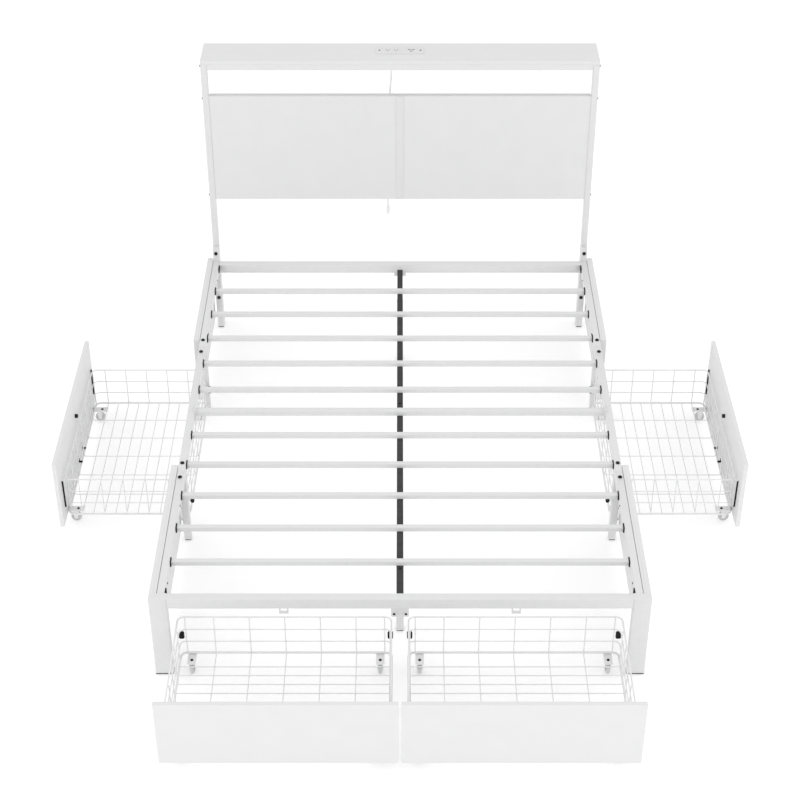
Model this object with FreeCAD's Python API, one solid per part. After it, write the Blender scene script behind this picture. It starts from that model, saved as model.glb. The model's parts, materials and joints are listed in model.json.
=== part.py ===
import FreeCAD, Part
import math
import os

os.makedirs("parts", exist_ok=True)

# Queen platform bed with a shelf headboard and four pull-out wire-basket drawers, all drawn pulled out.
# Millimetres. +X is to the right seen from the foot, +Y towards the headboard, +Z up from the floor.
# The origin is on the floor below the centre of the whole object's box.

Vec = FreeCAD.Vector
X_AXIS = Vec(1, 0, 0)
Y_AXIS = Vec(0, 1, 0)
Z_AXIS = Vec(0, 0, 1)
MIDDLE = Vec(0, 0, 0)

# ---- driving dimensions: frame ----
HALF_CLEAR = 750.0          # centre to the side rails' inner faces
RAIL_WIDE = 25.0            # width of every side rail tube
TUBE = 25.0                 # square leg and post tube
WALL = 1.5                  # steel tube wall
RAIL_TOP = 328.0
RAIL_LOW = 288.0
END_RAIL_DEEP = 30.0        # foot and head rail, front to back
FOOT_FACE = -928.0          # front face of the foot legs and foot rail
HEAD_RAIL_FRONT = 1124.0
JOINTS = (-261.0, 518.0)    # where the side rail sections meet
JOINT_BOLT_OFFSET = 40.0
COVER_OUT = 800.0           # outer face of the cover boards
BOARD = 15.0                # thickness of every board
COVER_LOW = 43.0
COVER_ENDS = (-229.0, 561.0)
COVER_SCREWS = (-828.0, -433.0, 633.0, 1030.0)
COVER_SCREW_Z = 308.0
SPACER_HALF = 9.0           # a block behind each cover screw
SPACER_UP = (8.0, 32.0)     # from the rail's underside
CLEAT_GAP = 1.5             # rail to the cleat along the cover's top
CLEAT_UP = (4.0, 39.0)      # from the rail's underside
PAD_HIGH = 4.0
PAD_SPLIT = (11.0, 14.0)    # gap between the two pads of a foot leg, from its inner face

# ---- driving dimensions: slats, beam, legs ----
SLAT_TOP = 324.0
SLAT_HIGH = 18.0
SLAT_WIDE = 18.0
SLAT_MID = 102.5
SLAT_FIRST = 141.8          # crossbar to the nearest slat
SLAT_PITCH = 173.3
SLATS_EACH_SIDE = 5
CAP_THICK = 4.0
CAP_WIDE = 28.0
CAP_HIGH = 24.0
PLUG_INSET = 2.0            # slat's outer faces to the cap's plug inside it
PLUG_REACH = 24.0
CROSSBAR_WIDE = 25.0
CROSSBAR_HIGH = 21.0
FLANGE_HALF = 22.0          # crossbar end flange, half its width
FLANGE_PROUD = 8.0          # flange above the rail's top
FLANGE_SCREW_OUT = 17.0
FLANGE_SCREW_UP = 22.0
BEAM_WIDE = 22.0
BEAM_HIGH = 25.0
LEDGE_LONG = 34.0           # shelf under each end of the beam
LEDGE_THICK = 3.0
FOOT_PLATE_HALF = 28.5
FOOT_PLATE_LOW = 226.0
HEAD_PLATE_HALF = 24.0
END_PLATE = 4.0             # flanges at the ends of the beam and the crossbar
CENTER_LEG_FRONTS = (-724.0, 905.0)
FOOT_LEG_IN = 742.0
MID_LEG_FRONTS = (-250.0, 530.0)
JOINT_PLATE = 4.0
JOINT_PLATE_PAST = 15.0     # joint plate beyond its bolts
SHEET = 2.5                 # steel sheet of straps and angles
STRAP_WIDE = 30.0
FOOT_TAB = (-10.0, 2.5)     # fixing tab of a drawer catch on the foot rail, front to back
SIDE_TAB = (0.0, 22.0)      # the same under a side rail
HEAD_LEG_TOP = 385.0
POST_BOLT_LEVELS = (364.0, 150.0)

# ---- driving dimensions: headboard ----
SHELF_TOP = 1210.0
SHELF_DEEP = 170.0
SKIRT_HIGH = 38.0
PANEL_LOW = 604.5
PANEL_TOP = 1061.0
PANEL_SET_BACK = 3.0
STRIP_WIDE = 31.0
CROSS_RAIL_LOWS = (1032.0, 609.0)
CROSS_RAIL_DEEP = 20.0
SCREW_IN = 9.0              # side screws behind the posts' front faces
SIDE_SCREW_LEVELS = (1187.0, 1050.0, 622.0)
STATION_LONG = 190.0
STATION_DEEP = 60.0
STATION_LOW = 1172.0
STATION_Y = 1276.0
STATION_SCREW = 80.5
STATION_RIM = (6.0, 4.0)    # cover plate past the housing, at its ends and its sides
STATION_GAP = 0.3
PLATE_HIGH = 2.4

# ---- driving dimensions: cord ----
CORD_D = 7.0
GLAND_LOW = 1140.0
CORD_ROUTE = [
    (-33.0, 1290.0, 1140.0),
    (-33.8, 1290.0, 1106.0),
    (-38.4, 1291.0, 1048.0),
    (-43.2, 1292.6, 984.0),
    (-45.8, 1293.2, 904.0),
    (-46.4, 1292.0, 820.0),
    (-46.8, 1290.2, 736.0),
    (-48.2, 1289.6, 648.0),
    (-49.4, 1290.6, 572.0),
    (-49.4, 1291.0, 520.0),
]
PLUG_LONG = 46.0

# ---- driving dimensions: drawers ----
TRAVEL = 421.0
BASKET_HALF = 344.5         # basket centre to the side wall wires
BASKET_DEEP = 438.0         # rear wall wires to front wall wires
FRONT_INNER = 447.0         # rear wall wires to the inner face of the front board
BASKET_FLOOR = 58.0
BASKET_TOP = 215.0
RING_LEVELS = (109.0, 161.0)
CORNER_R = 21.0
WIRE_R = 2.0
RIM_R = 2.6
BASE_R = 4.0
WELD = 0.4                  # how far welded wires sink into each other
CELLS_WIDE = 6
CROSS_FIRST = 69.0
CROSS_PITCH = 40.0
CROSS_COUNT = 9
WHEEL_R = 19.5
WHEEL_WIDE = 13.0
WHEEL_CLEAR = 0.5           # wheel above the floor, so that the legs carry the bed
AXLE_R = 2.5
CASTER_U = 307.7
CASTER_V = (31.0, 420.0)
CASTER_SCREW_V = (31.0, 410.0)
FORK_PLATE = 3.0
PLATE_HALF = 14.0
PLATE_IN = (20.0, 33.0)     # rear and front caster plates, from the axle towards the basket's middle
PLATE_OUT = 3.0             # rear caster plate past the basket's rear wires
CHEEK_HALF = 9.0
CHEEK_LOW = 13.0
CHEEK_THICK = 2.0
FOOT_FRONT_LOW = 36.0
FOOT_FRONT_TOP = 286.5
FOOT_FRONT_WIDE = 736.0
SIDE_FRONT_TOP = 325.0
SIDE_FRONT_WIDE = 784.0
ANGLE_LOW = 96.0            # corner angles between basket and front board
ANGLE_TOP = 213.0
ANGLE_IN = 5.0
ANGLE_OUT = 9.0
CLIP_U = (-42.0, 42.0)
CLIP_WIDE = 10.0
CLIP_TOP = 84.0
BLOCK_LOW = 112.0           # underside of the blocks behind the rear corners
BLOCK_HIGH = 25.0
BLOCK_IN = 13.0
BLOCK_OUT = 5.0
BLOCK_BACK = (6.0, 19.0)
MAGNET_Z = 251.0
MAGNET_R = 7.5
MAGNET_THICK = 10.0
CASTER_SCREW = (5.0, 3.0)   # radius and height

# ---- worked out from the above ----
RAIL_OUT = HALF_CLEAR + RAIL_WIDE
RAIL_MID_X = HALF_CLEAR + RAIL_WIDE / 2
FOOT_RAIL_BACK = FOOT_FACE + END_RAIL_DEEP
HEAD_RAIL_BACK = HEAD_RAIL_FRONT + END_RAIL_DEEP
HEAD_LEG_BACK = HEAD_RAIL_BACK + TUBE
POST_FRONT = HEAD_LEG_BACK
POST_BACK = POST_FRONT + TUBE
SHELF_UNDER = SHELF_TOP - BOARD
PANEL_FRONT = POST_FRONT + PANEL_SET_BACK
PANEL_BACK = PANEL_FRONT + BOARD
SLAT_UNDER = SLAT_TOP - SLAT_HIGH
BEAM_LOW = SLAT_UNDER - BEAM_HIGH
AXLE_Z = WHEEL_R + WHEEL_CLEAR
PLATE_TOP = BASKET_FLOOR - BASE_R


# ---- helpers ----
def box(x0, x1, y0, y1, z0, z1):
    return Part.makeBox(x1 - x0, y1 - y0, z1 - z0, Vec(x0, y0, z0))


def board(x0, x1, y0, y1, z0, z1, edge=1.0):
    """A board with all its edges eased."""
    plain = box(x0, x1, y0, y1, z0, z1)
    return plain.makeFillet(edge, plain.Edges)


def rod(start, end, radius):
    start = Vec(*start)
    along = Vec(*end) - start
    return Part.makeCylinder(radius, along.Length, start, along)


def tube(axis, x0, x1, y0, y1, z0, z1, wall=WALL):
    """A rectangular steel tube, open at both ends of the named axis."""
    cuts = {"x": (0, wall, wall), "y": (wall, 0, wall), "z": (wall, wall, 0)}[axis]
    inner = box(x0 + cuts[0], x1 - cuts[0], y0 + cuts[1], y1 - cuts[1], z0 + cuts[2], z1 - cuts[2])
    return box(x0, x1, y0, y1, z0, z1).cut(inner)


def mirror_x(shape):
    return shape.mirror(MIDDLE, X_AXIS)


def on_both_sides(shapes):
    """The right-hand shapes followed by their left-hand mirror images."""
    shapes = list(shapes)
    return shapes + [mirror_x(shape) for shape in shapes]


def cut_all(shape, tools):
    for tool in tools:
        shape = shape.cut(tool)
    return shape


def save(name, *shapes):
    solids = []
    for shape in shapes:
        solids.extend(shape.Solids)
    target = solids[0] if len(solids) == 1 else Part.makeCompound(solids)
    target.exportStep("parts/" + name + ".step")


def bolt(head_point, direction, head_r, head_high, shank_r, shank_long):
    """A domed bolt: the head's underside is at head_point and the shank runs along direction."""
    point = Vec(*head_point)
    along = Vec(*direction)
    head = Part.makeCylinder(head_r, head_high, point, along * -1)
    rings = [edge for edge in head.Edges if edge.Closed]
    rim = [edge for edge in rings if (edge.CenterOfMass - point).Length > head_high * 0.5]
    head = head.makeFillet(head_high * 0.45, rim)
    shank = Part.makeCylinder(shank_r, shank_long, point, along)
    return head.fuse(shank)


def hole(head_point, direction, shank_r, shank_long, clearance=0.15):
    """The hole that a bolt's shank needs, a little wider and a little deeper than the shank."""
    start = Vec(*head_point) - Vec(*direction)
    return Part.makeCylinder(shank_r + clearance, shank_long + 2.0, start, Vec(*direction))


# ---- fastener places, shared by the bolts and the holes they go through ----
def joint_bolts():
    """Vertical bolts that fix the side rail sections to the mid legs' joint plates."""
    places = []
    for joint in JOINTS:
        for offset in (-JOINT_BOLT_OFFSET, JOINT_BOLT_OFFSET):
            places.append((RAIL_MID_X, joint + offset, RAIL_TOP))
    return places


def post_bolts():
    """Bolts along Y through each head leg into its headboard post."""
    return [(RAIL_MID_X, HEAD_RAIL_BACK, level) for level in POST_BOLT_LEVELS]


def post_side_screws():
    """Screws along -X through each post into the shelf skirt and the cross rails."""
    return [(RAIL_OUT, POST_FRONT + SCREW_IN, level) for level in SIDE_SCREW_LEVELS]


def cover_screws():
    """Screws along +X through the right rail into the cover boards."""
    return [(HALF_CLEAR, at, COVER_SCREW_Z) for at in COVER_SCREWS]


def crossbar_screws():
    """Screws along +X through the crossbar's right end flange."""
    return [(HALF_CLEAR - END_PLATE, SLAT_MID + side, RAIL_LOW + FLANGE_SCREW_UP)
            for side in (-FLANGE_SCREW_OUT, FLANGE_SCREW_OUT)]


def beam_plate_screws():
    """Screws along +Y through the plate behind the foot rail."""
    return [(side, FOOT_RAIL_BACK, FOOT_PLATE_LOW + 12) for side in (-19, 19)]


def beam_bolt_places():
    """Vertical bolts from the beam's top face."""
    return [(0, CENTER_LEG_FRONTS[0] - 28, SLAT_UNDER), (0, SLAT_MID + 70, SLAT_UNDER)]


JOINT_HEAD = (7.5, 5.0)     # radius and height of each kind of head
POST_HEAD = (7.5, 6.0)
SIDE_HEAD = (5.0, 3.0)
PLATE_HEAD = (4.0, 2.5)
BEAM_HEAD = (7.0, 4.0)
STATION_HEAD = (3.5, 1.5)
JOINT_SHANK = (3.0, RAIL_TOP - RAIL_LOW + JOINT_PLATE)
POST_SHANK = (3.0, 2 * TUBE)
SIDE_SHANK = (2.5, TUBE + 8.0)
COVER_HEAD = (3.5, 2.0)
COVER_SHANK = (2.0, RAIL_WIDE + 16.0)
BEAM_SHANK = (3.0, 10.0)
STATION_SHANK = (1.2, 1.6)
PLATE_SHANK = (2.5, END_PLATE)
DOWN = (0, 0, -1)
OUTWARD = (1, 0, 0)
BACK = (0, 1, 0)
INWARD = (-1, 0, 0)


# ---- frame rails ----
def end_rails():
    for name, front in (("foot_rail", FOOT_FACE), ("head_rail", HEAD_RAIL_FRONT)):
        half = FOOT_LEG_IN if name == "foot_rail" else HALF_CLEAR
        back = front + END_RAIL_DEEP
        save(name, tube("x", -half, half, front, back, RAIL_LOW, RAIL_TOP))


def side_rails():
    spans = {
        "foot": (FOOT_RAIL_BACK, JOINTS[0]),
        "middle": JOINTS,
        "head": (JOINTS[1], HEAD_RAIL_BACK),
    }
    for section, (start, end) in spans.items():
        rail = tube("y", HALF_CLEAR, RAIL_OUT, start, end, RAIL_LOW, RAIL_TOP)
        drills = [hole(place, DOWN, *JOINT_SHANK) for place in joint_bolts() if start < place[1] < end]
        drills += [hole(place, OUTWARD, *COVER_SHANK) for place in cover_screws() if start < place[1] < end]
        rail = cut_all(rail, drills)
        save("right_rail_" + section, rail)
        save("left_rail_" + section, mirror_x(rail))


def side_covers():
    spans = {"foot": (FOOT_RAIL_BACK, COVER_ENDS[0]), "head": (COVER_ENDS[1], HEAD_LEG_BACK)}
    for section, (start, end) in spans.items():
        cover = board(COVER_OUT - BOARD, COVER_OUT, start, end, COVER_LOW, RAIL_TOP)
        inner = COVER_OUT - BOARD + 1
        blocks = [box(RAIL_OUT + CLEAT_GAP, inner, start + 1, end - 1,
                      RAIL_LOW + CLEAT_UP[0], RAIL_LOW + CLEAT_UP[1])]
        screws = [point for point in cover_screws() if start < point[1] < end]
        for _, at, _ in screws:
            blocks.append(box(RAIL_OUT, inner, at - SPACER_HALF, at + SPACER_HALF,
                              RAIL_LOW + SPACER_UP[0], RAIL_LOW + SPACER_UP[1]))
        cover = cut_all(cover.fuse(blocks), [hole(point, OUTWARD, *COVER_SHANK) for point in screws])
        save("right_cover_" + section, cover)
        save("left_cover_" + section, mirror_x(cover))


# ---- legs ----
def foot_legs():
    leg = tube("z", FOOT_LEG_IN, COVER_OUT, FOOT_FACE, FOOT_RAIL_BACK, PAD_HIGH, RAIL_TOP - WALL)
    lid = box(FOOT_LEG_IN, COVER_OUT, FOOT_FACE, FOOT_RAIL_BACK, RAIL_TOP - WALL, RAIL_TOP)
    leg = leg.fuse(lid)
    save("right_foot_leg", leg)
    save("left_foot_leg", mirror_x(leg))


def mid_legs():
    legs = []
    for front, joint in zip(MID_LEG_FRONTS, JOINTS):
        post = tube("z", HALF_CLEAR, RAIL_OUT, front, front + TUBE, PAD_HIGH, RAIL_LOW - JOINT_PLATE)
        reach = JOINT_BOLT_OFFSET + JOINT_PLATE_PAST
        plate = box(HALF_CLEAR, RAIL_OUT, joint - reach, joint + reach, RAIL_LOW - JOINT_PLATE, RAIL_LOW)
        drills = [hole(place, DOWN, *JOINT_SHANK) for place in joint_bolts() if abs(place[1] - joint) < reach]
        legs.append(cut_all(post.fuse(plate), drills))
    save("mid_legs", *on_both_sides(legs))


def head_legs():
    leg = tube("z", HALF_CLEAR, RAIL_OUT, HEAD_RAIL_BACK, HEAD_LEG_BACK, PAD_HIGH, HEAD_LEG_TOP - WALL)
    lid = box(HALF_CLEAR, RAIL_OUT, HEAD_RAIL_BACK, HEAD_LEG_BACK, HEAD_LEG_TOP - WALL, HEAD_LEG_TOP)
    leg = cut_all(leg.fuse(lid), [hole(place, BACK, *POST_SHANK) for place in post_bolts()])
    save("head_legs", *on_both_sides([leg]))


def center_legs():
    legs = []
    for front in CENTER_LEG_FRONTS:
        legs.append(tube("z", -TUBE / 2, TUBE / 2, front, front + TUBE, PAD_HIGH, BEAM_LOW))
    save("center_legs", *legs)


def foot_pads():
    deep = END_RAIL_DEEP
    inset = 1.0
    side = [
        box(FOOT_LEG_IN + PAD_SPLIT[1], COVER_OUT, FOOT_FACE, FOOT_FACE + deep, 0, PAD_HIGH),
        box(FOOT_LEG_IN, FOOT_LEG_IN + PAD_SPLIT[0], FOOT_FACE, FOOT_FACE + deep, 0, PAD_HIGH),
    ]
    for front in MID_LEG_FRONTS + (HEAD_RAIL_BACK, POST_FRONT):
        low = front + inset
        high = front + TUBE - inset
        side.append(box(HALF_CLEAR + inset, RAIL_OUT - inset, low, high, 0, PAD_HIGH))
    middle = []
    for front in CENTER_LEG_FRONTS:
        half = TUBE / 2 - inset
        middle.append(box(-half, half, front + inset, front + TUBE - inset, 0, PAD_HIGH))
    save("foot_pads", *(on_both_sides(side) + middle))


# ---- slats, crossbar and beam ----
def slat_places():
    places = []
    for index in range(SLATS_EACH_SIDE):
        offset = SLAT_FIRST + index * SLAT_PITCH
        places.extend([SLAT_MID - offset, SLAT_MID + offset])
    return sorted(places)


def slats():
    end = HALF_CLEAR - CAP_THICK
    half = SLAT_WIDE / 2
    bars = [tube("x", -end, end, at - half, at + half, SLAT_UNDER, SLAT_TOP, 1.2) for at in slat_places()]
    save("slats", *bars)


def cap_at(at):
    """A slat cap on the right rail's inner face: a flange with a plug inside the slat's end."""
    low = SLAT_UNDER + SLAT_HIGH / 2 - CAP_HIGH / 2
    wide = CAP_WIDE / 2
    plate = board(HALF_CLEAR - CAP_THICK, HALF_CLEAR, at - wide, at + wide, low, low + CAP_HIGH)
    half = SLAT_WIDE / 2 - PLUG_INSET
    plug = box(HALF_CLEAR - PLUG_REACH, HALF_CLEAR - CAP_THICK + 1, at - half, at + half,
               SLAT_UNDER + PLUG_INSET, SLAT_TOP - PLUG_INSET)
    return plate.fuse(plug)


def slat_caps():
    inset = CAP_WIDE / 2 + 0.5
    places = [FOOT_RAIL_BACK + inset] + slat_places() + [HEAD_RAIL_FRONT - inset]
    caps = [cap_at(at) for at in places[1:-1]]
    for at in (places[0], places[-1]):
        low = SLAT_UNDER + SLAT_HIGH / 2 - CAP_HIGH / 2
        caps.append(board(HALF_CLEAR - CAP_THICK, HALF_CLEAR, at - CAP_WIDE / 2, at + CAP_WIDE / 2,
                          low, low + CAP_HIGH))
    save("slat_caps", *on_both_sides(caps))


def crossbar():
    half = CROSSBAR_WIDE / 2
    end = HALF_CLEAR - END_PLATE
    bar = tube("x", -end, end, SLAT_MID - half, SLAT_MID + half, SLAT_UNDER, SLAT_UNDER + CROSSBAR_HIGH)
    plate = board(end, HALF_CLEAR, SLAT_MID - FLANGE_HALF, SLAT_MID + FLANGE_HALF,
                  RAIL_LOW, RAIL_TOP + FLANGE_PROUD)
    plate = cut_all(plate, [hole(place, OUTWARD, *PLATE_SHANK) for place in crossbar_screws()])
    save("crossbar", bar.fuse(on_both_sides([plate])))


def center_beam():
    half = BEAM_WIDE / 2
    start = FOOT_RAIL_BACK + END_PLATE
    end = HEAD_RAIL_FRONT - END_PLATE
    beam = tube("y", -half, half, start, end, BEAM_LOW, SLAT_UNDER)
    save("center_beam", cut_all(beam, [hole(place, DOWN, *BEAM_SHANK) for place in beam_bolt_places()]))


# ---- sheet brackets: beam ends and drawer catches ----
def foot_beam_plate():
    """A wide plate behind the foot rail that narrows to the centre beam's end."""
    back = FOOT_RAIL_BACK + END_PLATE
    plate = board(-FOOT_PLATE_HALF, FOOT_PLATE_HALF, FOOT_RAIL_BACK, back, FOOT_PLATE_LOW, RAIL_TOP - 10)
    ledge = box(-BEAM_WIDE / 2, BEAM_WIDE / 2, back - 1, back + LEDGE_LONG, BEAM_LOW - LEDGE_THICK, BEAM_LOW)
    return cut_all(plate.fuse(ledge), [hole(place, BACK, *PLATE_SHANK) for place in beam_plate_screws()])


def head_beam_plate():
    """An arched plate in front of the head rail, with the beam's end on its ledge."""
    front = HEAD_RAIL_FRONT - END_PLATE
    half = HEAD_PLATE_HALF
    plate = box(-half, half, front, HEAD_RAIL_FRONT, BEAM_LOW - 2 * LEDGE_THICK, RAIL_TOP - half)
    crown = Part.makeCylinder(half, END_PLATE, Vec(0, front, RAIL_TOP - half), Y_AXIS)
    ledge = box(-BEAM_WIDE / 2, BEAM_WIDE / 2, front - LEDGE_LONG, front + 1, BEAM_LOW - LEDGE_THICK, BEAM_LOW)
    return plate.fuse([crown, ledge])


def catch_strap(tab_from, tab_to):
    """A U-shaped strap that hangs from a rail by its tab, drawn facing -Y with its front face at Y = 0."""
    half = STRAP_WIDE / 2
    outline = box(-half, half, 0, SHEET, MAGNET_Z - 7, RAIL_LOW)
    window = box(-half + 5, half - 5, -1, SHEET + 1, MAGNET_Z + 4, RAIL_LOW - SHEET)
    tab = box(-half, half, tab_from, tab_to, RAIL_LOW - SHEET, RAIL_LOW)
    return outline.cut(window).fuse(tab)


def rail_brackets():
    gap = 0.3
    straps = []
    for drawer in DRAWERS:
        strap = catch_strap(*drawer["strap_tab"])
        strap.translate(Vec(drawer["front_shift"], MAGNET_THICK - FRONT_INNER + TRAVEL + gap, 0))
        straps.append(place(strap, drawer))
    save("rail_brackets", foot_beam_plate(), head_beam_plate(), *straps)


# ---- headboard ----
def headboard_posts():
    post = tube("z", HALF_CLEAR, RAIL_OUT, POST_FRONT, POST_BACK, PAD_HIGH, SHELF_UNDER)
    drills = [hole(place, BACK, *POST_SHANK) for place in post_bolts()]
    drills += [hole(place, INWARD, *SIDE_SHANK) for place in post_side_screws()]
    post = cut_all(post, drills)
    save("right_post", post)
    save("left_post", mirror_x(post))


def headboard_frame():
    """Two cross rails behind the panel boards and the centre strip between the boards."""
    end = HALF_CLEAR
    rails = []
    for low in CROSS_RAIL_LOWS:
        rail = tube("x", -end, end, PANEL_BACK, PANEL_BACK + CROSS_RAIL_DEEP, low, low + TUBE)
        rails.append(rail)
    half = STRIP_WIDE / 2
    strip = board(-half, half, PANEL_FRONT - 1.5, PANEL_BACK, PANEL_LOW, PANEL_TOP)
    save("headboard_inner_frame", strip, *rails)


def headboard_panels():
    panel = board(STRIP_WIDE / 2, HALF_CLEAR, PANEL_FRONT, PANEL_BACK, PANEL_LOW, PANEL_TOP)
    panel = cut_all(panel, [hole(place, INWARD, *SIDE_SHANK) for place in post_side_screws()])
    save("right_headboard_panel", panel)
    save("left_headboard_panel", mirror_x(panel))


def station_cutout(grow):
    long = STATION_LONG / 2 - STATION_RIM[0] + grow
    deep = STATION_DEEP / 2 - STATION_RIM[1] + grow
    return box(-long, long, STATION_Y - deep, STATION_Y + deep, STATION_LOW - 10, SHELF_TOP + 10)


def shelf():
    back = POST_FRONT + SHELF_DEEP
    top = board(-RAIL_OUT, RAIL_OUT, POST_FRONT, back, SHELF_UNDER, SHELF_TOP)
    save("shelf_board", top.cut(station_cutout(0.0)))
    low = SHELF_TOP - SKIRT_HIGH
    front = board(-HALF_CLEAR, HALF_CLEAR, POST_FRONT, POST_FRONT + BOARD, low, SHELF_UNDER)
    front = cut_all(front, on_both_sides([hole(post_side_screws()[0], INWARD, *SIDE_SHANK)]))
    rear = board(-RAIL_OUT, RAIL_OUT, back - BOARD, back, low, SHELF_UNDER)
    side = board(RAIL_OUT - BOARD, RAIL_OUT, POST_BACK, back - BOARD, low, SHELF_UNDER)
    save("shelf_skirt", front, rear, *on_both_sides([side]))


def power_station():
    outer = station_cutout(-STATION_GAP).common(box(-200, 200, 0, 2000, STATION_LOW, SHELF_TOP))
    save("power_station_housing", outer)
    half_long = STATION_LONG / 2
    half_deep = STATION_DEEP / 2
    near = STATION_Y - half_deep
    far = STATION_Y + half_deep
    plate = box(-half_long, half_long, near, far, SHELF_TOP, SHELF_TOP + PLATE_HIGH)
    upright = [edge for edge in plate.Edges if abs(edge.tangentAt(edge.FirstParameter).z) > 0.9]
    plate = plate.makeFillet(6.0, upright)
    save("power_station_plate", cut_all(plate, outlet_recesses()))


def outlet_recesses():
    """Two mains outlets on the left half, three USB slots on the right half."""
    cuts = []
    floor = SHELF_TOP + 0.8
    for middle in (-48.0, -15.0):
        for side in (-4.0, 4.0):
            at = middle + side
            cuts.append(box(at - 1, at + 1, STATION_Y - 2, STATION_Y + 6, floor, SHELF_TOP + 4))
        cuts.append(Part.makeCylinder(2.2, 4, Vec(middle, STATION_Y - 8, floor), Z_AXIS))
    for middle, shift in ((36.0, 6.0), (52.0, 6.0), (44.0, -7.0)):
        row = STATION_Y + shift
        cuts.append(box(middle - 5, middle + 5, row - 2, row + 2, floor, SHELF_TOP + 4))
    for middle in (-STATION_SCREW, STATION_SCREW):
        cuts.append(hole((middle, STATION_Y, SHELF_TOP + PLATE_HIGH), DOWN, *STATION_SHANK))
    return cuts


# ---- power cord ----
def cord_path(points):
    """Straight runs joined by tangent arcs, each arc as large as its two runs allow."""
    points = [Vec(*point) for point in points]
    edges = []
    last = points[0]
    for before, corner, after in zip(points, points[1:], points[2:]):
        into = (corner - before).normalize()
        out = (after - corner).normalize()
        half_turn = into.getAngle(out) / 2
        shorter = min((corner - before).Length, (after - corner).Length)
        setback = 0.45 * shorter
        radius = setback / math.tan(half_turn)
        start = corner - into * setback
        end = corner + out * setback
        to_centre = (out - into).normalize()
        centre = corner + to_centre * (radius / math.cos(half_turn))
        middle = centre - to_centre * radius
        edges.append(Part.LineSegment(last, start).toShape())
        edges.append(Part.Arc(start, middle, end).toShape())
        last = end
    edges.append(Part.LineSegment(last, points[-1]).toShape())
    return Part.Wire(edges)


def power_cord():
    top = CORD_ROUTE[0]
    gland = Part.makeCone(4.5, 8.0, STATION_LOW - GLAND_LOW, Vec(*top), Z_AXIS)
    save("cord_strain_relief", gland)
    path = cord_path(CORD_ROUTE)
    first = Vec(*CORD_ROUTE[1]) - Vec(*CORD_ROUTE[0])
    ring = Part.Wire([Part.makeCircle(CORD_D / 2, Vec(*CORD_ROUTE[0]), first)])
    cord = path.makePipeShell([ring], True, True)
    save("power_cord", cord)
    end = Vec(*CORD_ROUTE[-1])
    along = (end - Vec(*CORD_ROUTE[-2])).normalize()
    grip = Part.makeCone(5.0, 8.5, 12, end, along)
    body = Part.makeCylinder(8.5, PLUG_LONG - 28, end + along * 12, along)
    blades = []
    for side in (-3.5, 3.5):
        tip = end + along * (PLUG_LONG - 16)
        blades.append(box(side - 0.75, side + 0.75, -3.2, 3.2, -16, 0.5).translated(tip))
    save("power_plug", grip.fuse([body] + blades))


# ---- drawer pieces, drawn in the drawer's own frame ----
# The rear wall's wires are at Y = 0, the drawer opens towards -Y, and X = 0 is the basket's centre.
def arc_rod(centre, start_angle, turn, bend, radius):
    """A bent wire: a ring sector lying flat at the centre's height."""
    ring = Part.makeTorus(bend, radius, Vec(*centre), Z_AXIS, 0, 360, turn)
    ring.rotate(Vec(*centre), Z_AXIS, start_angle)
    return ring


def corner_arcs(half, y_edge, sign, level, bend, radius):
    """The two bends of a horizontal wire at one end wall. sign is +1 at the rear and -1 at the front."""
    arcs = []
    for side in (1, -1):
        centre = (side * (half - bend), y_edge - sign * bend, level)
        start = {(1, 1): 0, (-1, 1): 90, (-1, -1): 180, (1, -1): 270}[(side, sign)]
        arcs.append(arc_rod(centre, start, 90, bend, radius))
    return arcs


def wall_levels():
    """Each horizontal wire: level, radius, and how far it stands outside the wall's upright wires."""
    out = WIRE_R * 2 - WELD
    return [(level, WIRE_R, out) for level in RING_LEVELS] + [(BASKET_TOP, RIM_R, 0.0)]


def end_wall(sign):
    """The rear wall (sign +1) or the front wall (sign -1), with the bends at its two corners."""
    y_wall = 0.0 if sign > 0 else -BASKET_DEEP
    pieces = []
    for level, radius, out in wall_levels():
        y_wire = y_wall + sign * out
        bend = CORNER_R + out
        reach = BASKET_HALF - CORNER_R
        pieces.append(rod((-reach, y_wire, level), (reach, y_wire, level), radius))
        pieces.extend(corner_arcs(BASKET_HALF + out, y_wire, sign, level, bend, radius))
    base = BASKET_FLOOR + BASE_R
    cell = 2 * BASKET_HALF / CELLS_WIDE
    for index in range(1, CELLS_WIDE):
        at = -BASKET_HALF + index * cell
        pieces.append(rod((at, y_wall, base), (at, y_wall, BASKET_TOP), WIRE_R))
    for at in (CORNER_R - BASKET_HALF + 1, BASKET_HALF - CORNER_R - 1):
        pieces.append(rod((at, y_wall, base), (at, y_wall, BASKET_TOP), WIRE_R))
    return pieces[0].multiFuse(pieces[1:])


def side_wall(side):
    """One side wall between the corner bends. side is +1 or -1 along X."""
    pieces = []
    near = -BASKET_DEEP + CORNER_R
    far = -CORNER_R
    for level, radius, out in wall_levels():
        x_wire = side * (BASKET_HALF + out)
        pieces.append(rod((x_wire, near, level), (x_wire, far, level), radius))
    base = BASKET_FLOOR + BASE_R
    for at in side_uprights():
        x_wire = side * BASKET_HALF
        pieces.append(rod((x_wire, at, base), (x_wire, at, BASKET_TOP), WIRE_R))
    return pieces[0].multiFuse(pieces[1:])


def cross_wires():
    return [-(CROSS_FIRST + index * CROSS_PITCH) for index in range(CROSS_COUNT)]


def side_uprights():
    return cross_wires()[::2]


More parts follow.
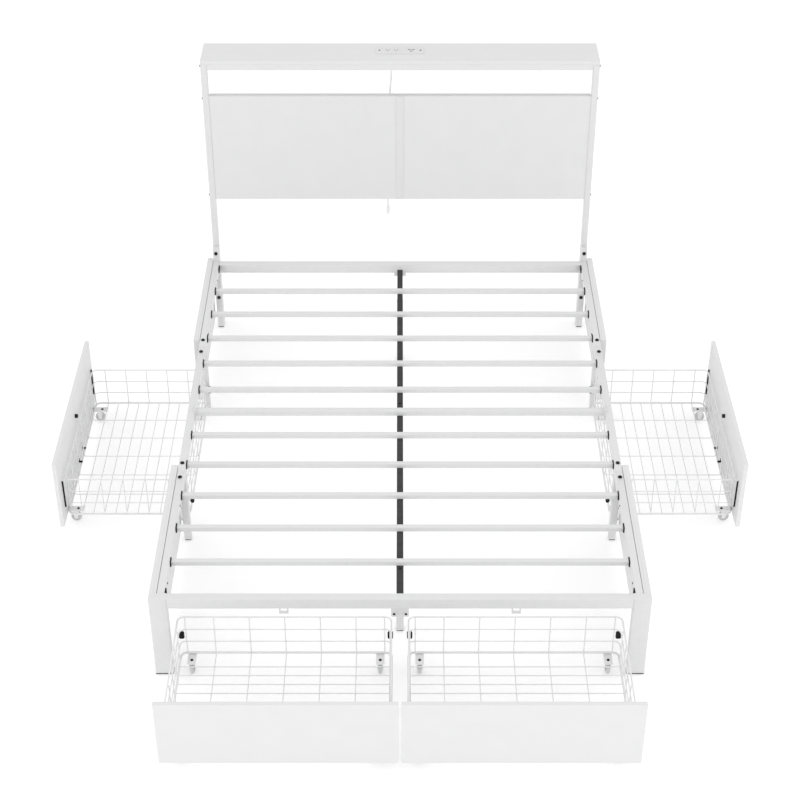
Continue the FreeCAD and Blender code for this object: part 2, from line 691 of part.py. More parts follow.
def basket_floor():
    """The heavy base ring with the floor wires: long wires lie level with it, cross wires lie on them."""
    reach = BASKET_HALF - CORNER_R
    pieces = []
    for sign, y_edge in ((1, 0.0), (-1, -BASKET_DEEP)):
        pieces.append(rod((-reach, y_edge, BASKET_FLOOR), (reach, y_edge, BASKET_FLOOR), BASE_R))
        pieces.extend(corner_arcs(BASKET_HALF, y_edge, sign, BASKET_FLOOR, CORNER_R, BASE_R))
    for side in (1, -1):
        x_wire = side * BASKET_HALF
        near = -BASKET_DEEP + CORNER_R
        pieces.append(rod((x_wire, near, BASKET_FLOOR), (x_wire, -CORNER_R, BASKET_FLOOR), BASE_R))
    cell = 2 * BASKET_HALF / CELLS_WIDE
    for index in range(1, CELLS_WIDE):
        at = -BASKET_HALF + index * cell
        pieces.append(rod((at, -BASKET_DEEP, BASKET_FLOOR), (at, 0, BASKET_FLOOR), WIRE_R))
    level = BASKET_FLOOR + 2 * WIRE_R - WELD
    for at in cross_wires():
        pieces.append(rod((-BASKET_HALF, at, level), (BASKET_HALF, at, level), WIRE_R))
    return pieces[0].multiFuse(pieces[1:])


def basket():
    floor = basket_floor()
    walls = [end_wall(1), end_wall(-1), side_wall(1), side_wall(-1)]
    return [floor] + [wall.cut(floor) for wall in walls]


def fork(at_u, at_v):
    """A caster fork: a plate under the basket's base ring, with two cheeks that hold the axle."""
    if at_v < BASKET_DEEP / 2:
        near, far = at_v + PLATE_IN[0], -PLATE_OUT
    else:
        near, far = FRONT_INNER - 1, at_v - PLATE_IN[1]
    plate = box(at_u - PLATE_HALF, at_u + PLATE_HALF, -near, -far, PLATE_TOP - FORK_PLATE, PLATE_TOP)
    cheeks = []
    inner = WHEEL_WIDE / 2 + 1.0
    for side in (-1, 1):
        low = at_u + side * inner
        high = at_u + side * (inner + CHEEK_THICK)
        cheek = box(min(low, high), max(low, high), -at_v - CHEEK_HALF, -at_v + CHEEK_HALF,
                    CHEEK_LOW, PLATE_TOP - FORK_PLATE)
        cheeks.append(cheek)
    axle = rod((at_u - inner - 4, -at_v, AXLE_Z), (at_u + inner + 4, -at_v, AXLE_Z), AXLE_R)
    return plate.fuse(cheeks + [axle])


def wheel(at_u, at_v):
    """A caster wheel with rounded shoulders, a shallow web and a running bore."""
    half = WHEEL_WIDE / 2
    disc = Part.makeCylinder(WHEEL_R, WHEEL_WIDE, Vec(at_u - half, -at_v, AXLE_Z), X_AXIS)
    disc = disc.makeFillet(2.0, [edge for edge in disc.Edges if edge.Closed])
    bore = Part.makeCylinder(AXLE_R + 0.08, WHEEL_WIDE + 2, Vec(at_u - half - 1, -at_v, AXLE_Z), X_AXIS)
    rings = []
    for start in (at_u - half, at_u + half - 1.8):
        outer = Part.makeCylinder(WHEEL_R - 5, 1.8, Vec(start, -at_v, AXLE_Z), X_AXIS)
        hub = Part.makeCylinder(5.5, 1.8, Vec(start, -at_v, AXLE_Z), X_AXIS)
        rings.append(outer.cut(hub))
    return cut_all(disc, [bore] + rings)


def corner_angle(side):
    """A black angle that ties the basket's front corner to the front board."""
    inner = BASKET_HALF + 2 * WIRE_R - WELD + WIRE_R + 0.6
    face = -FRONT_INNER
    on_board = box(inner - ANGLE_IN, inner + SHEET, face, face + SHEET, ANGLE_LOW, ANGLE_TOP)
    leg = box(inner, inner + SHEET, face, face + ANGLE_OUT, ANGLE_LOW, ANGLE_TOP)
    angle = on_board.fuse(leg)
    return angle if side > 0 else mirror_x(angle)


def basket_clip(at_u):
    """A black clip on the front board, with a ledge over the basket's base ring."""
    face = -FRONT_INNER
    half = CLIP_WIDE / 2
    low = BASKET_FLOOR + BASE_R + 0.8
    plate = box(at_u - half, at_u + half, face, face + SHEET, low, CLIP_TOP)
    ledge = box(at_u - half, at_u + half, face, -BASKET_DEEP + BASE_R, low, low + SHEET)
    return plate.fuse(ledge)


def rear_block(side):
    """A black plastic block on the outside of the basket's rear corner."""
    block = board(BASKET_HALF - BLOCK_IN, BASKET_HALF + BLOCK_OUT, *BLOCK_BACK,
                  BLOCK_LOW, BLOCK_LOW + BLOCK_HIGH, 2.5)
    return block if side > 0 else mirror_x(block)


def magnet(shift):
    disc = Part.makeCylinder(MAGNET_R, MAGNET_THICK, Vec(shift, -FRONT_INNER, MAGNET_Z), Y_AXIS)
    rings = [edge for edge in disc.Edges if edge.Closed]
    return disc.makeFillet(1.0, [edge for edge in rings if edge.CenterOfMass.y > 1 - FRONT_INNER])


def caster_screws():
    """Domed screw heads on the caster plates, inside the base ring."""
    screws = []
    for at_v in CASTER_SCREW_V:
        for at_u in (-CASTER_U, CASTER_U):
            screws.append(Part.makeCylinder(*CASTER_SCREW, Vec(at_u, -at_v, PLATE_TOP), Z_AXIS))
    return screws


def place(shape, drawer):
    """Moves a shape from the drawer's own frame to its place on the bed, pulled out."""
    moved = shape.copy()
    moved.rotate(MIDDLE, Z_AXIS, drawer["turn"])
    moved.translate(Vec(*drawer["rear_wall"]))
    return moved


FOOT_REAR_WALL = FOOT_FACE - TRAVEL + FRONT_INNER + BOARD
SIDE_REAR_WALL = COVER_OUT + TRAVEL - FRONT_INNER - BOARD
SIDE_BASKET_Y = 174.0
FOOT_BASKET_X = 372.0
DRAWERS = [
    {"name": "foot_left_drawer", "turn": 0, "rear_wall": (-FOOT_BASKET_X, FOOT_REAR_WALL, 0),
     "front_shift": -0.5, "front": (FOOT_FRONT_WIDE, FOOT_FRONT_LOW, FOOT_FRONT_TOP), "strap_tab": FOOT_TAB},
    {"name": "foot_right_drawer", "turn": 0, "rear_wall": (FOOT_BASKET_X, FOOT_REAR_WALL, 0),
     "front_shift": 0.5, "front": (FOOT_FRONT_WIDE, FOOT_FRONT_LOW, FOOT_FRONT_TOP), "strap_tab": FOOT_TAB},
    {"name": "right_side_drawer", "turn": 90, "rear_wall": (SIDE_REAR_WALL, SIDE_BASKET_Y, 0),
     "front_shift": -8.0, "front": (SIDE_FRONT_WIDE, COVER_LOW, SIDE_FRONT_TOP), "strap_tab": SIDE_TAB},
    {"name": "left_side_drawer", "turn": -90, "rear_wall": (-SIDE_REAR_WALL, SIDE_BASKET_Y, 0),
     "front_shift": 8.0, "front": (SIDE_FRONT_WIDE, COVER_LOW, SIDE_FRONT_TOP), "strap_tab": SIDE_TAB},
]


def drawers():
    wires = basket()
    casters = [fork(at_u, at_v) for at_v in CASTER_V for at_u in (-CASTER_U, CASTER_U)]
    wheels = [[wheel(at_u, at_v) for at_u in (-CASTER_U, CASTER_U)] for at_v in CASTER_V]
    for drawer in DRAWERS:
        name = drawer["name"]
        wide, low, top = drawer["front"]
        shift = drawer["front_shift"]
        front = board(shift - wide / 2, shift + wide / 2, -FRONT_INNER - BOARD, -FRONT_INNER, low, top)
        fittings = [corner_angle(1), corner_angle(-1), rear_block(1), rear_block(-1), magnet(shift)]
        fittings += [basket_clip(at_u) for at_u in CLIP_U]
        groups = {
            "front": [front],
            "basket": wires,
            "fittings": fittings + caster_screws(),
            "caster_forks": casters,
            "rear_wheels": wheels[0],
            "front_wheels": wheels[1],
        }
        for group, shapes in groups.items():
            save(name + "_" + group, *[place(shape, drawer) for shape in shapes])


# ---- fasteners ----
def frame_bolts():
    side = [bolt(point, DOWN, *JOINT_HEAD, *JOINT_SHANK) for point in joint_bolts()]
    side += [bolt(point, BACK, *POST_HEAD, *POST_SHANK) for point in post_bolts()]
    side += [bolt(point, INWARD, *SIDE_HEAD, *SIDE_SHANK) for point in post_side_screws()]
    side += [bolt(point, OUTWARD, *PLATE_HEAD, *PLATE_SHANK) for point in crossbar_screws()]
    side += [bolt(point, OUTWARD, *COVER_HEAD, *COVER_SHANK) for point in cover_screws()]
    middle = [bolt(point, DOWN, *BEAM_HEAD, *BEAM_SHANK) for point in beam_bolt_places()]
    middle += [bolt(point, BACK, *PLATE_HEAD, *PLATE_SHANK) for point in beam_plate_screws()]
    for at in (-STATION_SCREW, STATION_SCREW):
        middle.append(bolt((at, STATION_Y, SHELF_TOP + PLATE_HIGH), DOWN, *STATION_HEAD, *STATION_SHANK))
    save("frame_bolts", *(on_both_sides(side) + middle))


end_rails()
side_rails()
side_covers()
foot_legs()
mid_legs()
head_legs()
center_legs()
foot_pads()
slats()
slat_caps()
crossbar()
center_beam()
rail_brackets()
headboard_posts()
headboard_frame()
headboard_panels()
shelf()
power_station()
power_cord()
drawers()
frame_bolts()
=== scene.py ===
import bmesh
import bpy
import json
import math
from mathutils import Matrix, Vector


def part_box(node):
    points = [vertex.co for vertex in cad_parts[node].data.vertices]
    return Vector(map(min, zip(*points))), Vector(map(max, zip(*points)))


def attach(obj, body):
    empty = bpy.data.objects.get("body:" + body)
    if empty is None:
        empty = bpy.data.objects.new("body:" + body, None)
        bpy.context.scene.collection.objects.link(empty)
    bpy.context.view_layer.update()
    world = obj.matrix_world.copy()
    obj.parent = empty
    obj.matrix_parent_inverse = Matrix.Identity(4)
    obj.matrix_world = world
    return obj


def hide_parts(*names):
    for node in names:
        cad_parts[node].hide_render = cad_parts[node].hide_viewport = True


# A white queen platform bed with a shelf headboard and four wire-basket drawers, in metres.
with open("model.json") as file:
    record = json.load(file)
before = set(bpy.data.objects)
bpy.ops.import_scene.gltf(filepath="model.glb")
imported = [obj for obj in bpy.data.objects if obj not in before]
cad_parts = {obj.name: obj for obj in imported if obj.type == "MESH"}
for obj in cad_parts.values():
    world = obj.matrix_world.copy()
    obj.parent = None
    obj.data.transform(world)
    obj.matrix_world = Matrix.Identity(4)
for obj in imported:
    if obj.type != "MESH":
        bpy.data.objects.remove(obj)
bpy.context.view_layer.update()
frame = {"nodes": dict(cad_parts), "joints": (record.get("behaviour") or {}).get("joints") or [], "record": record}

MM = 0.001
X, Y, Z = 0, 1, 2
BED = "bed_frame"
DRAWERS = ("foot_left_drawer", "foot_right_drawer", "right_side_drawer", "left_side_drawer")

# ---- driving sizes, in metres ----
TUBE_WALL = 1.5 * MM
TUBE_ROUND = 2.6 * MM
SLAT_WALL = 1.2 * MM
SLAT_ROUND = 2.2 * MM
EASE = 0.7 * MM
JOINT_PLATE = 4 * MM
CROSSBAR_FLANGE = 4 * MM
CROSSBAR_HALF = 12.5 * MM
CROSSBAR_HIGH = 21 * MM
CAP_THICK = 4 * MM

# Baskets: wire radii, the bite of one wire into another where they are welded, and where the wires run.
WIRE_R = 2.0 * MM
RIM_R = 2.6 * MM
BASE_R = 4.0 * MM
WELD = 0.4 * MM
PROUD = 2 * WIRE_R - WELD + WIRE_R
CORNER_R = 21 * MM
WIRE_BEND_R = 7 * MM
HOOP_LEVELS = [0.109, 0.161]
FLOOR_CELLS = 6
CROSS_WIRES = 9
CROSS_FIRST = 69 * MM
CROSS_PITCH = 40 * MM
FLOOR_DROP = 1.2 * MM

# Welds: round beads where wires cross, and the radii and ripples of fillet beads.
HOOP_BEAD = 2.1 * MM
RIM_BEAD = 2.3 * MM
BASE_BEAD = 2.6 * MM
FLOOR_BEAD = 2.0 * MM
SIDE_BEAD = 2.4 * MM
FILLET = 1.8 * MM
THIN_FILLET = 0.9 * MM
LEG_FILLET = 1.6 * MM
RAIL_FILLET = 1.5 * MM
FORK_FILLET = 1.3 * MM
RIPPLE_PITCH = 1.2 * MM
RIPPLE_DEEP = 0.12
RIPPLE_TURN = 2.1

# Casters.
FORK_PLATE = 3 * MM
FORK_CHEEK = 2 * MM
FORK_NOSE_R = 6.8 * MM
FORK_HALF_WIDE = 12 * MM
PIN_R = 2.4 * MM
WHEEL_SPOKES = 6
WHEEL_TURNS = [2 * math.pi * index / 40 for index in range(40)]

# Turned heads, each a profile of (distance along, radius).
RIVET = [(-0.5 * MM, 3.4 * MM), (0.4 * MM, 3.4 * MM), (1.3 * MM, 2.6 * MM), (1.8 * MM, 1.2 * MM)]
ANGLE_SCREW = [(0, 2.9 * MM), (0.8 * MM, 2.8 * MM), (1.5 * MM, 2.1 * MM), (1.8 * MM, 1.0 * MM)]
CLIP_SCREW = [(0, 3.0 * MM), (0.8 * MM, 2.8 * MM), (1.5 * MM, 2.0 * MM), (1.7 * MM, 0.9 * MM)]

# Drawer fittings, told apart by their height and place in a drawer's own frame.
ANGLE_MIN_HIGH = 100 * MM
CATCH_MIN_LEVEL = 230 * MM
CASTER_SCREW_MAX_LEVEL = 58 * MM
# The corner angles' thin black sheets are sized to draw a painted shadow line along each white angle's edge.
ANGLE_IN = 2.5 * MM
ANGLE_SHEET = 1.2 * MM
CLIP_SHEET = 2.5 * MM

# The power station: where its outlets and ports are along X, and how far from the plate's middle line.
OUTLETS = (-48 * MM, -15 * MM)
PORTS = ((36 * MM, 6 * MM), (52 * MM, 6 * MM), (44 * MM, -9 * MM))

CORD_D = 7 * MM
PLUG_LONG = 30 * MM
BLADE_HALF_GAP = 3.5 * MM

# The studio, in metres, watts and degrees. Each lamp: name, place, aim, size, power.
FLOOR_REACH = 14.0
FLOOR_LEVEL = -0.0002
WORLD_LIGHT = 0.83
LAMPS = (
    ("key", (-2.6, -6.8, 3.4), (0, 0, 0.5), (4.0, 3.0), 55),
    ("fill", (3.2, -6.6, 3.0), (0, 0, 0.5), (4.0, 3.0), 45),
    ("left", (-6.5, 0.3, 3.5), (0.8, 0, 0.3), (9.0, 6.0), 85),
    ("right", (6.5, 0.3, 3.5), (-0.8, 0, 0.3), (9.0, 6.0), 85),
    ("top", (0.0, 0.5, 6.0), (0, 0, 0), (5.0, 5.0), 30),
)
CAMERA_AT = (0.0, -5.0, 4.010)
CAMERA_TILT = 54.49
LENS_MM = 77.45

# Meshes: points nearer than this are one, and edges sharper than this stay sharp, in degrees.
SAME_POINT = 1e-6
SHARP_ANGLE = 32

# The cord hangs from the power station's gland to its plug.
CORD_ROUTE = [
    (-0.0330, 1.2900, 1.140),
    (-0.0338, 1.2900, 1.106),
    (-0.0384, 1.2910, 1.048),
    (-0.0432, 1.2926, 0.984),
    (-0.0458, 1.2932, 0.904),
    (-0.0464, 1.2920, 0.820),
    (-0.0468, 1.2902, 0.736),
    (-0.0482, 1.2896, 0.648),
    (-0.0494, 1.2906, 0.572),
    (-0.0494, 1.2910, 0.520),
]


# ---- materials ----
COAT_ROUGHNESS = 0.18
ROUGHNESS_SPREAD = 0.06
GRAIN_DEEP = 0.5 * MM


def surface(name, colour, roughness, grain, height, mottle, coat=0.0, wave=45.0, specular=0.5,
            glow=0.0):
    """A finish with fine grain, and a slow mottle in colour and roughness, in object space."""
    material = bpy.data.materials.new(name)
    material.use_nodes = True
    nodes = material.node_tree.nodes
    links = material.node_tree.links
    shader = nodes["Principled BSDF"]
    shader.inputs["Specular IOR Level"].default_value = specular
    shader.inputs["Coat Weight"].default_value = coat
    shader.inputs["Coat Roughness"].default_value = COAT_ROUGHNESS
    shader.inputs["Emission Color"].default_value = (1.0, 1.0, 1.0, 1.0)
    shader.inputs["Emission Strength"].default_value = glow
    place = nodes.new("ShaderNodeTexCoord")
    slow = nodes.new("ShaderNodeTexNoise")
    slow.inputs["Scale"].default_value = wave
    slow.inputs["Detail"].default_value = 4.0
    links.new(place.outputs["Object"], slow.inputs["Vector"])
    tint = nodes.new("ShaderNodeValToRGB")
    dark = [channel * (1.0 - mottle) for channel in colour]
    light = [min(1.0, channel * (1.0 + mottle)) for channel in colour]
    tint.color_ramp.elements[0].position = 0.3
    tint.color_ramp.elements[0].color = (*dark, 1.0)
    tint.color_ramp.elements[1].position = 0.7
    tint.color_ramp.elements[1].color = (*light, 1.0)
    links.new(slow.outputs["Fac"], tint.inputs["Fac"])
    links.new(tint.outputs["Color"], shader.inputs["Base Color"])
    spread = nodes.new("ShaderNodeMapRange")
    spread.inputs["To Min"].default_value = roughness - ROUGHNESS_SPREAD
    spread.inputs["To Max"].default_value = roughness + ROUGHNESS_SPREAD
    links.new(slow.outputs["Fac"], spread.inputs["Value"])
    links.new(spread.outputs["Result"], shader.inputs["Roughness"])
    fine = nodes.new("ShaderNodeTexNoise")
    fine.inputs["Scale"].default_value = grain
    fine.inputs["Detail"].default_value = 3.0
    links.new(place.outputs["Object"], fine.inputs["Vector"])
    bump = nodes.new("ShaderNodeBump")
    bump.inputs["Strength"].default_value = height
    bump.inputs["Distance"].default_value = GRAIN_DEEP
    links.new(fine.outputs["Fac"], bump.inputs["Height"])
    links.new(bump.outputs["Normal"], shader.inputs["Normal"])
    return material


WHITE_METAL = surface("frame_white", (0.715, 0.715, 0.718), 0.42,
                      grain=700, height=0.16, mottle=0.012)
WHITE_WIRE = surface("wire_white", (0.79, 0.79, 0.792), 0.40,
                     grain=1200, height=0.2, mottle=0.02)
WHITE_BOARD = surface("board_white", (0.735, 0.735, 0.737), 0.48,
                      grain=1600, height=0.10, mottle=0.010, wave=14)
BLACK_PLASTIC = surface("black_plastic", (0.010, 0.010, 0.011), 0.6,
                        grain=1800, height=0.25, mottle=0.2, specular=0.2)
BLACK_STEEL = surface("black_steel", (0.014, 0.014, 0.015), 0.4,
                      grain=900, height=0.12, mottle=0.25, specular=0.3)
BLACK_BEAM = surface("beam_black", (0.062, 0.062, 0.064), 0.8,
                     grain=700, height=0.2, mottle=0.12, specular=0.04)
GREY_WHEEL = surface("wheel_grey", (0.60, 0.60, 0.605), 0.38,
                     grain=500, height=0.05, mottle=0.04, coat=0.2)
STATION_WHITE = surface("station_plastic", (0.715, 0.715, 0.717), 0.44,
                        grain=1800, height=0.14, mottle=0.015)
CORD_WHITE = surface("cord_white", (0.86, 0.86, 0.855), 0.36,
                     grain=400, height=0.05, mottle=0.03)

FINISH = {
    "frame_white": WHITE_METAL,
    "wire_white": WHITE_WIRE,
    "board_white": WHITE_BOARD,
    "black_plastic": BLACK_PLASTIC,
    "black_steel": BLACK_STEEL,
    "beam_black": BLACK_BEAM,
    "wheel_grey": GREY_WHEEL,
    "station_plastic": STATION_WHITE,
    "cord_white": CORD_WHITE,
}
SLOT_OF = {part["node"]: part["material_slot"] for part in frame["record"]["subparts"]}
BODIES = frame["record"]["behaviour"]["bodies"]
BODY_OF = {node: body for body, nodes in BODIES.items() for node in nodes}


# ---- reading the frame ----
class Solid:
    """One separate solid of a CAD node: its points, and the box round them."""

    def __init__(self, points):
        self.points = points
        self.low = Vector([min(p[i] for p in points) for i in range(3)])
        self.high = Vector([max(p[i] for p in points) for i in range(3)])
        self.centre = (self.low + self.high) / 2
        self.size = self.high - self.low

    def inside(self, other):
        """Whether the solid's box lies wholly within another's, as the wall of a closed hollow does."""
        return all(other.low[i] < self.low[i] and self.high[i] < other.high[i] for i in range(3))

    def part(self, axis, start, end):
        """The solid's points between two levels of an axis, as a solid of its own."""
        return Solid([p for p in self.points if start <= p[axis] <= end])


def solids(node, local=None):
    """The separate solids of a CAD node, each in the row frame or in a drawer's own frame."""
    mesh = bmesh.new()
    mesh.from_mesh(frame["nodes"][node].data)
    bmesh.ops.remove_doubles(mesh, verts=mesh.verts, dist=SAME_POINT)
    found = []
    seen = set()
    for start in mesh.verts:
        if start in seen:
            continue
        seen.add(start)
        stack = [start]
        points = []
        while stack:
            vert = stack.pop()
            points.append(local @ vert.co if local else vert.co.copy())
            for edge in vert.link_edges:
                other = edge.other_vert(vert)
                if other not in seen:
                    seen.add(other)
                    stack.append(other)
        found.append(Solid(points))
    mesh.free()
    outer = [one for one in found if not any(one.inside(other) for other in found)]
    return sorted(outer, key=lambda s: [round(c, 4) for c in s.centre])


# ---- mesh building ----
def loft(mesh, rings, loop=False):
    """Skins a row of rings with equal counts of points. An open row is closed by its two end faces."""
    rows = [[mesh.verts.new(point) for point in ring] for ring in rings]
    pairs = list(zip(rows, rows[1:]))
    if loop:
        pairs.append((rows[-1], rows[0]))
    for first, second in pairs:
        count = len(first)
        for index in range(count):
            after = (index + 1) % count
            mesh.faces.new((first[index], first[after], second[after], second[index]))
    if not loop:
        mesh.faces.new(rows[0])
        mesh.faces.new(rows[-1])


def rounded_rect(half_u, half_v, radius, steps=3):
    """A rectangle about the origin with round corners, as pairs."""
    radius = min(radius, half_u * 0.98, half_v * 0.98)
    points = []
    for corner in range(4):
        centre_u = (half_u - radius) * (1 if corner in (0, 3) else -1)
        centre_v = (half_v - radius) * (1 if corner in (0, 1) else -1)
        for step in range(steps + 1):
            angle = math.pi / 2 * (corner + step / steps)
            points.append((centre_u + radius * math.cos(angle), centre_v + radius * math.sin(angle)))
    return points


def box_ring(low, high, axis, at, inset, radius):
    """A box's rounded cross-section at a place along an axis, inset from the box's faces."""
    u, v = [i for i in range(3) if i != axis]
    ring = []
    half_u = (high[u] - low[u]) / 2 - inset
    half_v = (high[v] - low[v]) / 2 - inset
    for du, dv in rounded_rect(half_u, half_v, max(radius - inset, 0.15 * MM)):
        point = Vector((0, 0, 0))
        point[axis] = at
        point[u] = (low[u] + high[u]) / 2 + du
        point[v] = (low[v] + high[v]) / 2 + dv
        ring.append(point)
    return ring


def eased(start, end, ease, steps=3):
    """Places from start to end, each with how far a rounded end pulls the section in there."""
    sign = 1 if end > start else -1
    rows = []
    for step in range(steps + 1):
        angle = math.pi / 2 * step / steps
        rows.append((start + sign * ease * (1 - math.cos(angle)), ease * (1 - math.sin(angle))))
    back = [(start + end - at, inset) for at, inset in rows]
    return rows + back[::-1]


def block(mesh, low, high, axis=Z, radius=1.5 * MM, ease=EASE):
    """A closed block with round corners along one axis and eased ends."""
    rows = eased(low[axis], high[axis], ease)
    loft(mesh, [box_ring(low, high, axis, at, inset, radius) for at, inset in rows])


def tube(mesh, low, high, axis, wall=TUBE_WALL, radius=TUBE_ROUND, ease=0.4 * MM):
    """A rectangular steel tube with round corners, open at both ends."""
    rows = [(at, inset, radius) for at, inset in eased(low[axis], high[axis], ease, 2)]
    rows += [(high[axis], wall, radius), (low[axis], wall, radius)]
    loft(mesh, [box_ring(low, high, axis, at, inset, r) for at, inset, r in rows], loop=True)


def turned(mesh, centre, along, profile, sides=28, hexagon=()):
    """A turned piece, from rows of (distance along the axis, radius). Rows in hexagon are six-sided."""
    along = Vector(along).normalized()
    side = along.orthogonal().normalized()
    other = along.cross(side)
    rings = []
    for row, (distance, radius) in enumerate(profile):
        ring = []
        for index in range(sides):
            angle = 2 * math.pi * index / sides
            reach = radius
            if row in hexagon:
                reach = radius / math.cos((angle + math.pi / 6) % (math.pi / 3) - math.pi / 6)
            ring.append(Vector(centre) + along * distance + side * (reach * math.cos(angle))
                        + other * (reach * math.sin(angle)))
        rings.append(ring)
    loft(mesh, rings)


def bent(corners, radius, closed=False, steps=5):
    """A path through corners, each rounded by an arc."""
    corners = [Vector(corner) for corner in corners]
    count = len(corners)
    path = [] if closed else [corners[0]]
    for index in range(count) if closed else range(1, count - 1):
        corner = corners[index]
        into = (corner - corners[index - 1]).normalized()
        out = (corners[(index + 1) % count] - corner).normalized()
        half_turn = into.angle(out) / 2
        setback = radius * math.tan(half_turn)
        centre = corner + (out - into).normalized() * (radius / math.cos(half_turn))
        first = corner - into * setback - centre
        last = corner + out * setback - centre
        for step in range(steps + 1):
            spoke = first.normalized().slerp(last.normalized(), step / steps)
            path.append(centre + spoke.normalized() * radius)
    if not closed:
        path.append(corners[-1])
    return path


def wire(mesh, path, radius, closed=False, sides=8):
    """A round wire along a path."""
    count = len(path)
    rings = []
    normal = None
    for index, point in enumerate(path):
        before = path[index - 1] if index or closed else point
        after = path[(index + 1) % count] if index < count - 1 or closed else point
        tangent = (after - before).normalized()
        if normal is None:
            normal = tangent.orthogonal().normalized()
        normal = (normal - tangent * normal.dot(tangent)).normalized()
        other = tangent.cross(normal)
        ring = []
        for side in range(sides):
            angle = 2 * math.pi * side / sides
            ring.append(point + normal * (radius * math.cos(angle))
                        + other * (radius * math.sin(angle)))
        rings.append(ring)
    loft(mesh, rings, loop=closed)


def nugget(mesh, centre, radius):
    """A small round bead of weld."""
    made = bmesh.ops.create_icosphere(mesh, subdivisions=1, radius=radius)
    bmesh.ops.translate(mesh, vec=centre, verts=made["verts"])


def bead(mesh, path, radius):
    """A fillet weld along a short path, with slight ripples."""
    ripples = []
    steps = max(6, int((path[-1] - path[0]).length / RIPPLE_PITCH))
    for step in range(steps + 1):
        ripples.append(path[0].lerp(path[-1], step / steps))
    start = len(mesh.verts)
    sides = 6
    wire(mesh, ripples, radius, sides=sides)
    mesh.verts.ensure_lookup_table()
    for index, centre in enumerate(ripples):
        scale = 1.0 + RIPPLE_DEEP * math.sin(index * RIPPLE_TURN)
        for vert in mesh.verts[start + index * sides:start + (index + 1) * sides]:
            vert.co = centre + (vert.co - centre) * scale


def finish_piece(name, mesh, material_slot, body, nodes=(), move=None, sharp=SHARP_ANGLE):
    """Makes an object of a mesh, gives it its finish and lets it ride on a body."""
    bmesh.ops.recalc_face_normals(mesh, faces=mesh.faces)
    data = bpy.data.meshes.new(name)
    mesh.to_mesh(data)
    mesh.free()
    if move:
        data.transform(move)
    for polygon in data.polygons:
        polygon.use_smooth = True
    data.set_sharp_from_angle(angle=math.radians(sharp))
    data.materials.append(FINISH[material_slot])
    piece = bpy.data.objects.new(name, data)
    bpy.context.scene.collection.objects.link(piece)
    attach(piece, body)
    if nodes:
        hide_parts(*nodes)
    return piece


def redo(node, build):
    """Replaces one CAD node by a finer mesh that build() draws from the node's solids."""
    mesh = bmesh.new()
    for solid in solids(node):
        build(mesh, solid)
    return finish_piece(node + "_body", mesh, SLOT_OF[node], BODY_OF[node], [node])


def softened(node, width):
    """Replaces a CAD node by a copy whose flat faces are whole and whose sharp edges are rounded."""
    mesh = bmesh.new()
    mesh.from_mesh(frame["nodes"][node].data)
    bmesh.ops.remove_doubles(mesh, verts=mesh.verts, dist=SAME_POINT)
    bmesh.ops.dissolve_limit(mesh, angle_limit=math.radians(1.0), verts=mesh.verts, edges=mesh.edges)
    least = math.radians(30)
    inner = [edge for edge in mesh.edges if len(edge.link_faces) == 2]
    sharp = [edge for edge in inner if edge.calc_face_angle() > least]
    bmesh.ops.bevel(mesh, geom=sharp, offset=width, offset_type="OFFSET", segments=2, profile=0.5,
                    affect="EDGES", clamp_overlap=True)
    return finish_piece(node + "_shell", mesh, SLOT_OF[node], BODY_OF[node], [node])


# ---- steel frame ----
def brackets():
    """The rails' brackets and the headboard's inner frame, with their sharp edges rounded."""
    softened("rail_brackets", 0.5 * MM)
    softened("headboard_inner_frame", 0.8 * MM)


def rails():
    """The tubes of the bed: rails, posts, legs, centre beam and slats."""
    for node in ("foot_rail", "head_rail"):
        redo(node, lambda mesh, solid: tube(mesh, solid.low, solid.high, X))
    for side in ("left", "right"):
        for section in ("foot", "middle", "head"):
            redo(f"{side}_rail_{section}", lambda mesh, solid: tube(mesh, solid.low, solid.high, Y))
        redo(f"{side}_post", lambda mesh, solid: tube(mesh, solid.low, solid.high, Z))
        redo(f"{side}_foot_leg",
             lambda mesh, solid: block(mesh, solid.low, solid.high, Z, TUBE_ROUND, 0.8 * MM))
    redo("head_legs",
         lambda mesh, solid: block(mesh, solid.low, solid.high, Z, TUBE_ROUND, 1.2 * MM))
    redo("center_legs", lambda mesh, solid: tube(mesh, solid.low, solid.high, Z))
    redo("center_beam", lambda mesh, solid: tube(mesh, solid.low, solid.high, Y))
    redo("slats",
         lambda mesh, solid: tube(mesh, solid.low, solid.high, X, SLAT_WALL, SLAT_ROUND))


def mid_legs():
    """Tube legs, each welded under the plate that joins two rail sections."""
    def build(mesh, solid):
        shank = solid.part(Z, solid.low.z, solid.low.z + 20 * MM)
        plate = solid.part(Z, solid.high.z - 4.5 * MM, solid.high.z)
        under = solid.high.z - JOINT_PLATE
        block(mesh, Vector((plate.low.x, plate.low.y, under)), plate.high, Z, 4 * MM, 0.5 * MM)
        top = Vector((shank.high.x, shank.high.y, under))
        tube(mesh, shank.low, top, Z)
        for at in (shank.low.y, shank.high.y):
            start = Vector((shank.low.x + TUBE_ROUND, at, top.z))
            bead(mesh, [start, Vector((shank.high.x - TUBE_ROUND, at, top.z))], FILLET)
        for at in (shank.low.x, shank.high.x):
            start = Vector((at, shank.low.y + TUBE_ROUND, top.z))
            bead(mesh, [start, Vector((at, shank.high.y - TUBE_ROUND, top.z))], THIN_FILLET)

    redo("mid_legs", build)


